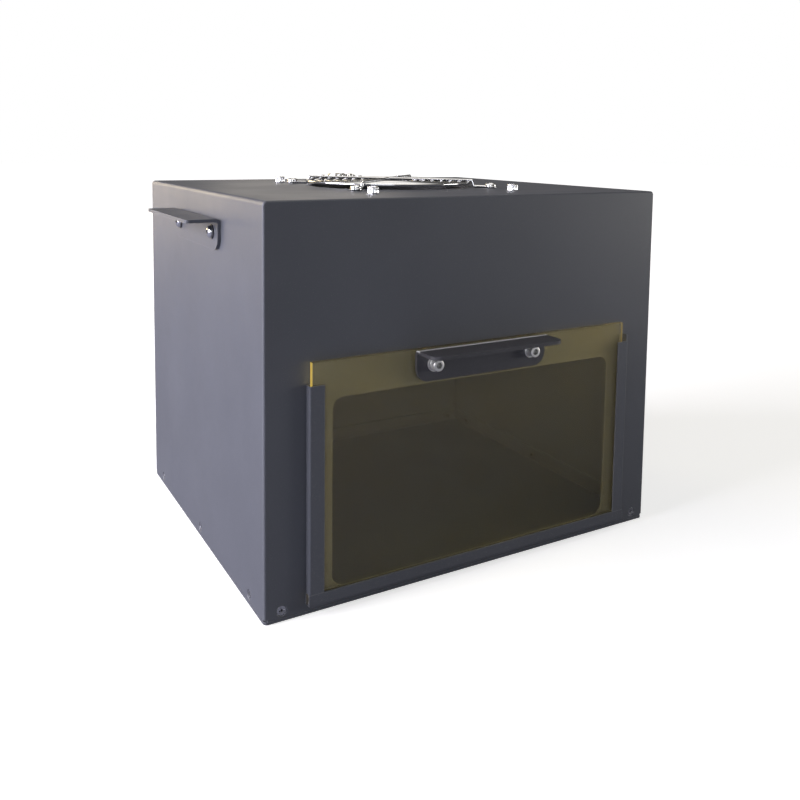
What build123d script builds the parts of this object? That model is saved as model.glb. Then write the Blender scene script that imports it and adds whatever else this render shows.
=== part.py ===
import os
from math import cos, radians, sin, sqrt, tan

from build123d import *

# Light box for curing resin under ultraviolet light, in millimetres.
# The origin is the middle of the underside, the front faces -Y and +Z is up.

# The box
box_width = 280.0
box_depth = 240.0
box_height = 230.0
sheet = 1.5
bend_radius = 2.5
weld_radius = 1.2
relief_width = 1.9
relief_height = 1.3
seam_chamfer = 0.3
front_y = -box_depth / 2
top_z = box_height
ceiling_z = box_height - sheet

# The window in the front sheet and the pane that covers it
window_width = 201.0
window_top = 121.0
window_bottom = 12.5
window_corner = 7.0
pane_width = 225.6
pane_shift = -1.2
pane_thickness = 3.0
pane_bottom = 6.6
pane_top = 142.7

# The three bent channels that hold the pane
guide_sheet = 0.8
guide_bend = 1.2
guide_half_width = 116.0
guide_top = 130.0
guide_web_top = 134.5
guide_bottom = 5.7
guide_lip = 9.0
guide_low_lip = 7.3
guide_back_lip = 5.6
pane_clearance = 0.3
guide_depth = 2 * guide_sheet + pane_thickness + 2 * pane_clearance

# The bent sheet handles, of one size
handle_sheet = 2.0
handle_bend = 3.0
handle_length = 93.0
handle_leg = 19.0
handle_reach = 21.0
handle_leg_corner = 8.0
handle_hole_spacing = 70.0
pane_handle_x = -3.3
pane_handle_top = 142.6
pane_handle_lip_corner = 6.0
pane_handle_drop = 8.9
side_handle_y = -3.0
side_handle_top = 214.8
side_handle_lip_corner = 2.5
side_handle_drop = 8.5

# Base tray
flange_top = 12.0
flange_gap = 0.1
base_screw_z = 6.0
side_screw_y = 95.5
front_screw_x = 130.0

# Air vents in the rear sheet
vent_width = 4.0
vent_height = 22.0
vent_pitch = 12.0
vent_columns = 13
vent_row_z = (172.0, 200.0)

# Fan, a standard 120 mm square one
fan_size = 120.0
fan_depth = 25.0
fan_hole_spacing = 105.0
fan_hole_radius = 2.2
fan_duct_radius = 57.5
fan_ring_radius = 59.4
fan_corner = 6.0
fan_flange = 4.0
fan_opening_radius = 57.0
hub_radius = 19.5
hub_wall = 1.6
hub_drop = 2.5
hub_height = 17.5
motor_base_radius = 20.5
motor_base_height = 3.0
blade_count = 7
blade_thickness = 1.6
blade_camber = 0.07
blade_root = 16.0
blade_tip = 57.0
blade_radius = 56.0
shaft_radius = 1.5
running_gap = 0.05
bearing_radius = 3.0
tube_radius = 4.6
stator_radius = 15.0
magnet_radius = 16.2
fan_top = ceiling_z
fan_bottom = fan_top - fan_depth

# Wire guard over the fan
guard_wire = 1.0
guard_strut = 0.95
guard_outer_ring = 58.5
guard_ring_pitch = 6.5
guard_ring_count = 7
guard_ring_rise = 3.3
guard_bend_radius = 62.3
guard_weld = 0.15
guard_eye_radius = 3.1

# Lamp: finned heat sink, board and glass, hung from the top on four long spacers
lamp_hole_x = 53.0
lamp_hole_y = 76.5
sink_width = 125.0
sink_length = 175.0
sink_base = 8.0
sink_bottom = 143.5
fin_height = 45.0
fin_length = 132.0
fin_thickness = 2.0
fin_count = 21
fin_pitch = (sink_width - fin_thickness) / (fin_count - 1)
sink_top = sink_bottom + sink_base
spacer_flats = 7.0
board_width = 110.0
board_length = 152.0
board_thickness = 1.6
led_columns = 6
led_rows = 9
led_pitch = 15.0
led_size = 3.5
led_body = 0.9
led_dome = 1.5
lamp_frame_width = 125.0
lamp_frame_length = 167.0
lamp_frame_depth = 11.5
lamp_lip_width = 104.0
lamp_lip_length = 140.0
lamp_lip = 2.0
glass_thickness = 3.0
fit_gap = 0.3
lamp_bottom = sink_bottom - lamp_frame_depth

# Round panel connector for the lamp's lead, behind the fan
connector_x = 3.5
connector_y = 88.0
connector_flange = 28.0
connector_flange_sheet = 1.2
connector_hole_spacing = 22.6
connector_radius = 9.8
connector_height = 5.4
connector_drop = 14.0
ring_radius = 12.0
ring_rise = 3.4
ring_flutes = 20
lead_radius = 1.0
pin_circle = 3.6
pin_tail = 4.0
pin_low = top_z - connector_drop - pin_tail

os.makedirs("parts", exist_ok=True)


def socket_screw(thread, length):
    """Socket-head screw with its seat on the XY plane and its shank below."""
    head_radius = 0.875 * thread
    with BuildPart() as screw:
        with BuildSketch():
            Circle(head_radius)
        extrude(amount=thread)
        fillet(screw.edges().group_by(Axis.Z)[-1], 0.1 * thread)
        with BuildSketch():
            Circle(thread / 2)
        extrude(amount=-length)
        chamfer(screw.edges().group_by(Axis.Z)[0], 0.1 * thread)
        with BuildSketch(Plane.XY.offset(thread)):
            RegularPolygon(0.375 * thread, 6, major_radius=False)
        extrude(amount=-0.55 * thread, mode=Mode.SUBTRACT)
    return screw.part


def button_screw(thread, length):
    """Button-head screw: a low dome with a hexagon socket, its seat on the XY plane."""
    head_radius = 0.95 * thread
    head_height = 0.55 * thread
    with BuildPart() as screw:
        with BuildSketch(Plane.XZ):
            with BuildLine():
                Polyline((0, head_height), (0, 0), (head_radius, 0), (head_radius, 0.1 * thread))
                ThreePointArc(
                    (head_radius, 0.1 * thread),
                    (0.78 * head_radius, 0.75 * head_height),
                    (0.4 * head_radius, head_height),
                )
                Line((0.4 * head_radius, head_height), (0, head_height))
            make_face()
        revolve(axis=Axis.Z)
        with BuildSketch():
            Circle(thread / 2)
        extrude(amount=-length)
        chamfer(screw.edges().group_by(Axis.Z)[0], 0.1 * thread)
        with BuildSketch(Plane.XY.offset(head_height)):
            RegularPolygon(0.31 * thread, 6, major_radius=False)
        extrude(amount=-0.35 * thread, mode=Mode.SUBTRACT)
    return screw.part


def cross_recess(radius, head_top, drop):
    """Cross-shaped hole for a screwdriver, as deep as drop."""
    with BuildPart() as recess:
        with BuildSketch(Plane.XY.offset(head_top)):
            Rectangle(1.1 * radius, 0.26 * radius)
            Rectangle(0.26 * radius, 1.1 * radius)
        extrude(amount=-drop)
    return recess.part


def pan_screw(thread, length):
    """Pan-head screw with a low dome, its seat on the XY plane."""
    head_radius = 0.95 * thread
    head_height = 0.47 * thread
    rim = 0.15 * thread
    with BuildPart() as screw:
        with BuildSketch(Plane.XZ):
            with BuildLine():
                Polyline((0, head_height), (0, 0), (head_radius, 0), (head_radius, rim))
                ThreePointArc(
                    (head_radius, rim),
                    (0.66 * head_radius, 0.5 * (rim + head_height) + 0.07 * thread),
                    (0, head_height),
                )
            make_face()
        revolve(axis=Axis.Z)
        with BuildSketch():
            Circle(thread / 2)
        extrude(amount=-length)
        chamfer(screw.edges().group_by(Axis.Z)[0], 0.1 * thread)
    recess = cross_recess(head_radius, head_height + 0.1, 0.45 * head_height + 0.1)
    with BuildPart() as finished:
        add(screw.part)
        add(recess, mode=Mode.SUBTRACT)
    return finished.part


def flat_screw(thread, length):
    """Countersunk screw with its flat top on the XY plane."""
    head_radius = 0.9 * thread
    cone = head_radius - thread / 2
    with BuildPart() as screw:
        with BuildSketch(Plane.XZ):
            with BuildLine():
                Polyline(
                    (0, 0),
                    (head_radius, 0),
                    (thread / 2, -cone),
                    (thread / 2, -length),
                    (0, -length),
                    close=True,
                )
            make_face()
        revolve(axis=Axis.Z)
    recess = cross_recess(head_radius, 0.1, 0.8)
    with BuildPart() as finished:
        add(screw.part)
        add(recess, mode=Mode.SUBTRACT)
    return finished.part


def washer(outer, inner, thickness, split_width=0.0):
    """Flat ring on the XY plane, or a split spring ring."""
    with BuildPart() as ring:
        with BuildSketch():
            Circle(outer)
            Circle(inner, mode=Mode.SUBTRACT)
            if split_width:
                with Locations((outer / 2, 0)):
                    Rectangle(outer + 1, split_width, rotation=12, mode=Mode.SUBTRACT)
        extrude(amount=thickness)
    return ring.part


def hex_nut(flats, bore, thickness):
    """Hexagon nut on the XY plane."""
    with BuildPart() as nut:
        with BuildSketch():
            RegularPolygon(flats / 2, 6, major_radius=False)
            Circle(bore, mode=Mode.SUBTRACT)
        extrude(amount=thickness)
    return nut.part


def sheet_handle(lip_corner, hole_drop):
    """Bent handle: its leg lies on the XZ plane, its lip points to -Y and its top is at Z = 0."""
    half = handle_sheet / 2
    with BuildPart() as handle:
        with BuildSketch(Plane.YZ):
            with BuildLine() as middle:
                FilletPolyline(
                    (-half, -handle_leg),
                    (-half, -half),
                    (-handle_reach, -half),
                    radius=handle_bend - half,
                )
            trace(middle.line, line_width=handle_sheet)
        extrude(amount=handle_length / 2, both=True)
        leg_corners = handle.edges().filter_by(Axis.Y).group_by(Axis.Z)[0]
        fillet(leg_corners, handle_leg_corner)
        lip_corners = handle.edges().filter_by(Axis.Z).group_by(Axis.Y)[0]
        fillet(lip_corners, lip_corner)
        with BuildSketch(Plane.XZ.offset(-1)):
            with Locations((0, -hole_drop)):
                with GridLocations(handle_hole_spacing, 1, 2, 1):
                    Circle(2.2)
        extrude(amount=handle_sheet + 2, mode=Mode.SUBTRACT)
    return handle.part


def channel(lip_front, lip_back, length):
    """Bent channel along Z from Z = 0, open towards +X, its web's outer face at X = 0 and its back at Y = 0."""
    half = guide_sheet / 2
    with BuildPart() as guide:
        with BuildSketch():
            with BuildLine() as middle:
                FilletPolyline(
                    (lip_back, -half),
                    (half, -half),
                    (half, half - guide_depth),
                    (lip_front, half - guide_depth),
                    radius=guide_bend - half,
                )
            trace(middle.line, line_width=guide_sheet)
        extrude(amount=length)
    return guide.part


# Outer form of the cover, with its bends rounded, above the base sheet
with BuildPart() as envelope:
    with BuildSketch(Plane.XY.offset(sheet)):
        Rectangle(box_width, box_depth)
    extrude(amount=box_height - sheet)
    top_edges = envelope.faces().sort_by(Axis.Z)[-1].edges()
    fillet(top_edges.filter_by(Axis.Y), bend_radius)
    for end_face in (envelope.faces().sort_by(Axis.Y)[0], envelope.faces().sort_by(Axis.Y)[-1]):
        low_edge = end_face.edges().sort_by(Axis.Z)[0]
        fillet([edge for edge in end_face.edges() if edge != low_edge], weld_radius)
    chamfer(envelope.faces().sort_by(Axis.Z)[0].edges(), seam_chamfer)

# Places of the countersunk screws along the lower edge, each plane's normal pointing outwards
side_screw_planes = []
for side in (-1, 1):
    for screw_y in (-side_screw_y, 0, side_screw_y):
        side_screw_planes.append(
            Plane((side * box_width / 2, screw_y, base_screw_z), x_dir=(0, 1, 0), z_dir=(side, 0, 0))
        )
front_screw_planes = [
    Plane((x, front_y, base_screw_z), x_dir=(1, 0, 0), z_dir=(0, -1, 0))
    for x in (-front_screw_x, front_screw_x)
]
rear_screw_planes = [
    Plane((x, -front_y, base_screw_z), x_dir=(1, 0, 0), z_dir=(0, 1, 0))
    for x in (-front_screw_x, front_screw_x)
]

# Cutter for one countersunk hole, a little wider than the screw
screw_gap = 0.06
screw_sink = 0.4
with BuildPart() as countersink:
    with BuildSketch(Plane.XZ):
        with BuildLine():
            Polyline(
                (0, 0.1),
                (3.2 + screw_gap, 0.1),
                (1.5 + screw_gap, -1.6),
                (1.5 + screw_gap, -2 * sheet - 1),
                (0, -2 * sheet - 1),
                close=True,
            )
        make_face()
    revolve(axis=Axis.Z)

# Cutter for the bend reliefs at the cover's lower corners
with BuildPart() as corner_reliefs:
    with Locations((0, 0, sheet)):
        with GridLocations(box_width, box_depth, 2, 2):
            Box(2 * relief_width, 2 * relief_width, 2 * relief_height)

# Places of the four lamp screws, and of the fan's four
lamp_points = [(x, y) for x in (-lamp_hole_x, lamp_hole_x) for y in (-lamp_hole_y, lamp_hole_y)]
fan_offset = fan_hole_spacing / 2
fan_points = [(x, y) for x in (-fan_offset, fan_offset) for y in (-fan_offset, fan_offset)]
connector_offset = connector_hole_spacing / 2
connector_points = [
    (connector_x + x, connector_y + y)
    for x in (-connector_offset, connector_offset)
    for y in (-connector_offset, connector_offset)
]

# Places of the side handles' screws, on the outer faces of the sides
side_handle_z = side_handle_top - side_handle_drop
side_handle_screw_y = [side_handle_y + half * handle_hole_spacing / 2 for half in (-1, 1)]

# Left side, top and right side, bent from one sheet
with BuildPart() as cover_wrap:
    side_middle = (box_width - sheet) / 2
    with BuildSketch(Plane.XZ):
        with BuildLine() as wrap_middle:
            FilletPolyline(
                (-side_middle, sheet),
                (-side_middle, box_height - sheet / 2),
                (side_middle, box_height - sheet / 2),
                (side_middle, sheet),
                radius=bend_radius - sheet / 2,
            )
        trace(wrap_middle.line, line_width=sheet)
    extrude(amount=box_depth / 2 - sheet, both=True)
    add(envelope.part, mode=Mode.INTERSECT)
    with BuildSketch(Plane.XY.offset(top_z + 1)):
        Circle(fan_opening_radius)
        with Locations(*lamp_points, *fan_points):
            Circle(fan_hole_radius)
        with Locations((connector_x, connector_y)):
            Circle(connector_radius + running_gap)
        with Locations(*connector_points):
            Circle(1.6)
    extrude(amount=-2 * sheet - 1, mode=Mode.SUBTRACT)
    with BuildSketch(Plane.YZ):
        with Locations(*[(y, side_handle_z) for y in side_handle_screw_y]):
            Circle(2.2)
    extrude(amount=box_width, both=True, mode=Mode.SUBTRACT)
    with Locations(*side_screw_planes):
        add(countersink.part, mode=Mode.SUBTRACT)
    add(corner_reliefs.part, mode=Mode.SUBTRACT)

# Front sheet, welded in, with the window
with BuildPart() as front_panel:
    with BuildSketch(Plane.XZ.offset(-front_y)):
        with Locations((0, box_height / 2)):
            Rectangle(box_width + 2, box_height + 2)
    extrude(amount=-sheet)
    add(envelope.part, mode=Mode.INTERSECT)
    with BuildSketch(Plane.XZ.offset(-front_y + 1)) as window:
        with Locations((0, (window_top + window_bottom) / 2)):
            Rectangle(window_width, window_top - window_bottom)
        fillet(window.vertices(), window_corner)
    extrude(amount=-sheet - 2, mode=Mode.SUBTRACT)
    with Locations(*front_screw_planes):
        add(countersink.part, mode=Mode.SUBTRACT)
    add(corner_reliefs.part, mode=Mode.SUBTRACT)

# Rear sheet, welded in, with two rows of air vents
with BuildPart() as rear_panel:
    with BuildSketch(Plane.XZ.offset(front_y)):
        with Locations((0, box_height / 2)):
            Rectangle(box_width + 2, box_height + 2)
    extrude(amount=sheet)
    add(envelope.part, mode=Mode.INTERSECT)
    with BuildSketch(Plane.XZ.offset(front_y - 1)):
        for row_z in vent_row_z:
            with Locations((0, row_z)):
                with GridLocations(vent_pitch, 1, vent_columns, 1):
                    SlotOverall(vent_height, vent_width, rotation=90)
    extrude(amount=sheet + 2, mode=Mode.SUBTRACT)
    with Locations(*rear_screw_planes):
        add(countersink.part, mode=Mode.SUBTRACT)
    add(corner_reliefs.part, mode=Mode.SUBTRACT)

# Base sheet with four flanges that stand inside the cover
with BuildPart() as base_plate:
    with BuildSketch():
        RectangleRounded(box_width, box_depth, bend_radius)
    extrude(amount=sheet)
    inner_x = box_width / 2 - sheet - flange_gap
    inner_y = box_depth / 2 - sheet - flange_gap
    with BuildSketch(Plane.XY.offset(sheet)):
        with Locations((0, -inner_y + sheet / 2), (0, inner_y - sheet / 2)):
            Rectangle(2 * inner_x - 3, sheet)
        with Locations((-inner_x + sheet / 2, 0), (inner_x - sheet / 2, 0)):
            Rectangle(sheet, 2 * inner_y - 16)
    extrude(amount=flange_top - sheet)
    with BuildSketch(Plane.XZ):
        with Locations(*[(x, base_screw_z) for x in (-front_screw_x, front_screw_x)]):
            Circle(1.5 + screw_gap)
    extrude(amount=box_depth, both=True, mode=Mode.SUBTRACT)
    with BuildSketch(Plane.YZ):
        with Locations(*[(y, base_screw_z) for y in (-side_screw_y, 0, side_screw_y)]):
            Circle(1.5 + screw_gap)
    extrude(amount=box_width, both=True, mode=Mode.SUBTRACT)

base_screw = flat_screw(3.0, 3.6)
with BuildPart() as base_screws:
    with Locations(*side_screw_planes, *front_screw_planes, *rear_screw_planes):
        with Locations((0, 0, -screw_sink)):
            add(base_screw)

# Pane guides: the side ones stand on the low one
with BuildPart() as door_guide_left:
    side_start = guide_bottom + guide_low_lip
    with Locations(Location((-guide_half_width, front_y, side_start))):
        add(channel(guide_lip, guide_back_lip, guide_top - side_start))

right_channel = mirror(channel(guide_lip, guide_back_lip, guide_web_top - side_start), about=Plane.YZ)
with BuildPart() as door_guide_right:
    with Locations(Location((guide_half_width, front_y, side_start))):
        add(right_channel)
    with BuildSketch(Plane.XY.offset(guide_top)):
        with Locations((guide_half_width - guide_sheet, front_y - guide_depth)):
            Rectangle(guide_lip, 2 * guide_sheet, align=(Align.MAX, Align.CENTER))
    extrude(amount=guide_web_top - guide_top + 1, mode=Mode.SUBTRACT)

with BuildPart() as door_guide_bottom:
    lying = Plane((guide_half_width, front_y, guide_bottom), x_dir=(0, 0, 1), z_dir=(-1, 0, 0))
    with Locations(lying):
        add(channel(guide_low_lip, guide_low_lip - 0.5, 2 * guide_half_width))
    with BuildSketch(Plane.XZ.offset(-front_y + guide_depth + 1)) as low_corners:
        for side in (-1, 1):
            with Locations((side * guide_half_width, guide_bottom)):
                Rectangle(2 * guide_bend, 2 * guide_bend)
            with Locations((side * (guide_half_width - guide_bend), guide_bottom + guide_bend)):
                Circle(guide_bend, mode=Mode.SUBTRACT)
    extrude(amount=-guide_depth - 2, mode=Mode.SUBTRACT)

# Amber pane with two holes for its handle
pane_back = front_y - guide_sheet - pane_clearance
pane_front = pane_back - pane_thickness
pane_screw_z = pane_handle_top - pane_handle_drop
pane_screw_x = [pane_handle_x + half * handle_hole_spacing / 2 for half in (-1, 1)]
insert_radius = 3.0
with BuildPart() as door_panel:
    with BuildSketch(Plane.XZ.offset(-pane_back)):
        with Locations((pane_shift, (pane_top + pane_bottom) / 2)):
            Rectangle(pane_width, pane_top - pane_bottom)
        with Locations(*[(x, pane_screw_z) for x in pane_screw_x]):
            Circle(insert_radius, mode=Mode.SUBTRACT)
    extrude(amount=pane_thickness)
    chamfer(door_panel.edges().filter_by(Axis.Z), 0.3)

with BuildPart() as door_inserts:
    with BuildSketch(Plane.XZ.offset(-pane_back)):
        with Locations(*[(x, pane_screw_z) for x in pane_screw_x]):
            Circle(insert_radius - 0.02)
            Circle(2.0 + running_gap, mode=Mode.SUBTRACT)
    extrude(amount=pane_thickness)

with BuildPart() as door_handle:
    with Locations(Location((pane_handle_x, pane_front, pane_handle_top))):
        add(sheet_handle(pane_handle_lip_corner, pane_handle_drop))

# Stack under each handle screw: a flat washer, a split washer, then the head
flat_washer_height = 0.8
split_washer_height = 1.0
handle_face = pane_front - handle_sheet


def pane_planes(y):
    """Planes at the pane handle's holes, facing the front, at this Y."""
    return [Plane((x, y, pane_screw_z), x_dir=(1, 0, 0), z_dir=(0, -1, 0)) for x in pane_screw_x]


with BuildPart() as door_flat_washers:
    with Locations(*pane_planes(handle_face)):
        add(washer(4.5, 2.2, flat_washer_height))

with BuildPart() as door_spring_washers:
    with Locations(*pane_planes(handle_face - flat_washer_height)):
        add(washer(3.7, 2.2, split_washer_height, 0.6))

stack = flat_washer_height + split_washer_height
pane_screw_length = stack + handle_sheet + pane_thickness - 0.2
with BuildPart() as door_handle_screws:
    with Locations(*pane_planes(handle_face - stack)):
        add(socket_screw(4.0, pane_screw_length))

# Side handles, their screws, washers and nuts
side_handle = sheet_handle(side_handle_lip_corner, side_handle_drop)
with BuildPart() as side_handle_left:
    left_side = Plane((-box_width / 2, side_handle_y, side_handle_top), x_dir=(0, -1, 0), z_dir=(0, 0, 1))
    with Locations(left_side):
        add(side_handle)

with BuildPart() as side_handle_right:
    right_side = Plane((box_width / 2, side_handle_y, side_handle_top), x_dir=(0, 1, 0), z_dir=(0, 0, 1))
    with Locations(right_side):
        add(side_handle)


def side_planes(distance, outwards=1):
    """Planes at the side handles' holes, this far from the middle, facing out or in."""
    return [
        Plane((side * distance, y, side_handle_z), x_dir=(0, 1, 0), z_dir=(outwards * side, 0, 0))
        for side in (-1, 1)
        for y in side_handle_screw_y
    ]


side_face = box_width / 2 + handle_sheet
with BuildPart() as side_handle_washers:
    with Locations(*side_planes(side_face)):
        add(washer(4.5, 2.2, flat_washer_height))

side_screw_length = flat_washer_height + handle_sheet + sheet + 4.2
with BuildPart() as side_handle_screws:
    with Locations(*side_planes(side_face + flat_washer_height)):
        add(button_screw(4.0, side_screw_length))

with BuildPart() as side_handle_nuts:
    with Locations(*side_planes(box_width / 2 - sheet, -1)):
        add(hex_nut(7.0, 2.0 + running_gap, 3.2))

# Fan frame: two square flanges, the duct between them, the motor base on four arms, the bearing tube
with BuildPart() as fan_frame:
    for flange_z in (fan_bottom, fan_top - fan_flange):
        with BuildSketch(Plane.XY.offset(flange_z)):
            RectangleRounded(fan_size, fan_size, fan_corner)
        extrude(amount=fan_flange)
    with BuildSketch(Plane.XY.offset(fan_bottom)):
        Circle(fan_ring_radius)
    extrude(amount=fan_depth)
    with BuildSketch(Plane.XY.offset(fan_bottom)):
        Circle(fan_duct_radius)
    extrude(amount=fan_depth, mode=Mode.SUBTRACT)
    with BuildSketch(Plane.XY.offset(fan_bottom)):
        Circle(motor_base_radius)
        for arm_angle in (45, 135, 225, 315):
            with Locations(Location((0, 0), arm_angle)):
                with Locations((motor_base_radius - 1, 0)):
                    Rectangle(
                        fan_duct_radius - motor_base_radius + 2, 4.0, align=(Align.MIN, Align.CENTER)
                    )
    extrude(amount=motor_base_height)
    with BuildSketch(Plane.XY.offset(fan_bottom)):
        Circle(tube_radius)
    extrude(amount=motor_base_height + 12)
    with BuildSketch(Plane.XY.offset(fan_bottom + 1)):
        Circle(bearing_radius)
    extrude(amount=fan_depth, mode=Mode.SUBTRACT)
    with BuildSketch(Plane.XY.offset(fan_bottom)):
        with Locations(*fan_points):
            Circle(fan_hole_radius)
    extrude(amount=fan_depth, mode=Mode.SUBTRACT)

bearing_low = fan_bottom + 2.6
bearing_high = fan_bottom + motor_base_height + 12
with BuildPart() as fan_bearing:
    with BuildSketch(Plane.XY.offset(bearing_low)):
        Circle(bearing_radius - 0.02)
        Circle(shaft_radius + running_gap, mode=Mode.SUBTRACT)
    extrude(amount=bearing_high - bearing_low)

with BuildPart() as fan_stator:
    with BuildSketch(Plane.XY.offset(fan_bottom + motor_base_height)):
        Circle(stator_radius)
        Circle(tube_radius + 0.02, mode=Mode.SUBTRACT)
        with PolarLocations(stator_radius - 2.5, 4, 45):
            SlotOverall(7.0, 2.4)
        with PolarLocations(stator_radius - 1.6, 4, 45):
            Rectangle(6.0, 2.0, mode=Mode.SUBTRACT)
    extrude(amount=9.0)


def fan_blade():
    """One blade along +X, about Z = 0: a thin curved section, wider and flatter towards the tip."""
    with BuildPart() as blade:
        for reach, chord, pitch_angle in ((blade_root, 17.0, 48.0), (blade_tip, 34.0, 26.0)):
            along = Vector(cos(radians(pitch_angle)), sin(radians(pitch_angle)))
            across = Vector(-along.Y, along.X)
            bulge = blade_camber * chord
            with BuildSketch(Plane.YZ.offset(reach)):
                with BuildLine():
                    for offset in (bulge - blade_thickness / 2, bulge + blade_thickness / 2):
                        ThreePointArc(along * (-chord / 2), across * offset, along * (chord / 2))
                make_face()
        loft()
        with BuildSketch():
            Circle(blade_radius)
        extrude(amount=hub_height, both=True, mode=Mode.INTERSECT)
    return blade.part


hub_top = fan_top - hub_drop
hub_low = hub_top - hub_height
with BuildPart() as fan_rotor:
    with BuildSketch(Plane.XY.offset(hub_low)):
        Circle(hub_radius)
    extrude(amount=hub_height)
    fillet(fan_rotor.edges().group_by(Axis.Z)[-1], 1.5)
    with Locations((0, 0, (hub_top + hub_low) / 2)):
        with PolarLocations(0, blade_count):
            add(fan_blade())
    with BuildSketch(Plane.XY.offset(hub_low - 0.1)):
        Circle(hub_radius - hub_wall)
    extrude(amount=hub_height - hub_wall + 0.1, mode=Mode.SUBTRACT)
    with BuildSketch(Plane.XY.offset(hub_top - hub_wall)):
        Circle(4.0)
    extrude(amount=-1.2)
    with BuildSketch(Plane.XY.offset(hub_top - hub_wall + 0.8)):
        Circle(shaft_radius)
    extrude(amount=-4, mode=Mode.SUBTRACT)

with BuildPart() as fan_magnet:
    with BuildSketch(Plane.XY.offset(hub_low + 1)):
        Circle(hub_radius - hub_wall)
        Circle(magnet_radius, mode=Mode.SUBTRACT)
    extrude(amount=11.0)

with BuildPart() as fan_shaft:
    shaft_top = hub_top - hub_wall + 0.8
    shaft_low = fan_bottom + 1.3
    with BuildSketch(Plane.XY.offset(shaft_low)):
        Circle(shaft_radius)
    extrude(amount=shaft_top - shaft_low)
    with BuildSketch(Plane.XY.offset(bearing_low - 0.7)):
        Circle(shaft_radius)
        Circle(1.1, mode=Mode.SUBTRACT)
    extrude(amount=0.5, mode=Mode.SUBTRACT)

with BuildPart() as fan_clip:
    with BuildSketch(Plane.XY.offset(bearing_low - 0.65)):
        Circle(2.4)
        Circle(1.1, mode=Mode.SUBTRACT)
        with Locations((1.5, 0)):
            Rectangle(3.0, 1.4, mode=Mode.SUBTRACT)
    extrude(amount=0.4)

# Wire guard: rings under crossed struts, which step down outside them to eyes under the fan's screws
eye_z = top_z + guard_strut + 0.02
ring_z = top_z + guard_ring_rise
strut_z = ring_z + guard_wire + guard_strut - guard_weld
with BuildPart() as fan_guard:
    for ring in range(guard_ring_count):
        with BuildSketch(Plane.XZ):
            with Locations((guard_outer_ring - ring * guard_ring_pitch, ring_z)):
                Circle(guard_wire)
        revolve(axis=Axis.Z)
    eye_distance = sqrt(2) * fan_offset
    for strut_angle in (45, 135):
        direction = Vector(cos(radians(strut_angle)), sin(radians(strut_angle)), 0)
        low = Vector(0, 0, eye_z)
        high = Vector(0, 0, strut_z)
        with BuildLine() as strut_path:
            FilletPolyline(
                low - direction * (eye_distance - guard_eye_radius),
                low - direction * guard_bend_radius,
                high - direction * (guard_bend_radius - 1.2),
                high + direction * (guard_bend_radius - 1.2),
                low + direction * guard_bend_radius,
                low + direction * (eye_distance - guard_eye_radius),
                radius=1.5,
            )
        with BuildSketch(strut_path.line ^ 0):
            Circle(guard_strut)
        sweep()
    for x, y in fan_points:
        with BuildSketch(Plane((x, y, eye_z), x_dir=(1, 0, 0), z_dir=(0, -1, 0))):
            with Locations((guard_eye_radius, 0)):
                Circle(guard_strut)
        revolve(axis=Axis((x, y, 0), (0, 0, 1)))

guard_seat = eye_z + guard_strut + 0.02
with BuildPart() as fan_guard_screws:
    with Locations(*[Location((x, y, guard_seat)) for x, y in fan_points]):
        add(pan_screw(4.0, guard_seat - fan_bottom + 4.4))

with BuildPart() as fan_guard_nuts:
    with Locations(*[Location((x, y, fan_bottom - 3.2)) for x, y in fan_points]):
        add(hex_nut(7.0, 2.0 + running_gap, 3.2))

# Heat sink, with fins along Y and bare ends where the spacers stand
lead_hole_y = 71.0
lead_hole_x = 12.0
lead_half_gap = 1.7
lead_depth = 1.4
frame_screw_points = [(side * 59.3, y) for side in (-1, 1) for y in (-60.0, 0.0, 60.0)]
board_screw_points = [(x, y) for x in (-48.0, 48.0) for y in (-69.0, 0.0, 69.0)]
with BuildPart() as heat_sink:
    with BuildSketch(Plane.XY.offset(sink_bottom)):
        Rectangle(sink_width, sink_length)
    extrude(amount=sink_base)
    with BuildSketch(Plane.XY.offset(sink_top)):
        with GridLocations(fin_pitch, 1, fin_count, 1):
            Rectangle(fin_thickness, fin_length)
    extrude(amount=fin_height)
    with BuildSketch(Plane.XY.offset(sink_bottom)):
        with Locations((lead_hole_x, lead_hole_y)):
            Circle(3.6)
        with Locations(*lamp_points):
            Circle(2.0 + running_gap)
    extrude(amount=sink_base, mode=Mode.SUBTRACT)
    with BuildSketch(Plane.XY.offset(sink_bottom)):
        with Locations(*frame_screw_points, *board_screw_points):
            Circle(1.5 + running_gap)
    extrude(amount=6.0, mode=Mode.SUBTRACT)

# Long hexagon spacers with a stud at the lower end, and the screws into them from the top
with BuildPart() as lamp_standoffs:
    with BuildSketch(Plane.XY.offset(sink_top)):
        with Locations(*lamp_points):
            RegularPolygon(spacer_flats / 2, 6, major_radius=False)
    extrude(amount=ceiling_z - sink_top)
    with BuildSketch(Plane.XY.offset(sink_top)):
        with Locations(*lamp_points):
            Circle(2.0)
    extrude(amount=-sink_base + 0.5)
    with BuildSketch(Plane.XY.offset(ceiling_z)):
        with Locations(*lamp_points):
            Circle(2.0 + running_gap)
    extrude(amount=-9.0, mode=Mode.SUBTRACT)

with BuildPart() as lamp_screws:
    with Locations(*[Location((x, y, top_z)) for x, y in lamp_points]):
        add(socket_screw(4.0, 8.5))

# Board with its rows of light-emitting diodes
board_bottom = sink_bottom - board_thickness
with BuildPart() as led_board:
    with BuildSketch(Plane.XY.offset(board_bottom)):
        Rectangle(board_width, board_length)
        with Locations((lead_hole_x, lead_hole_y)):
            Circle(3.0, mode=Mode.SUBTRACT)
        with Locations(*board_screw_points):
            Circle(1.6, mode=Mode.SUBTRACT)
    extrude(amount=board_thickness)

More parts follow.
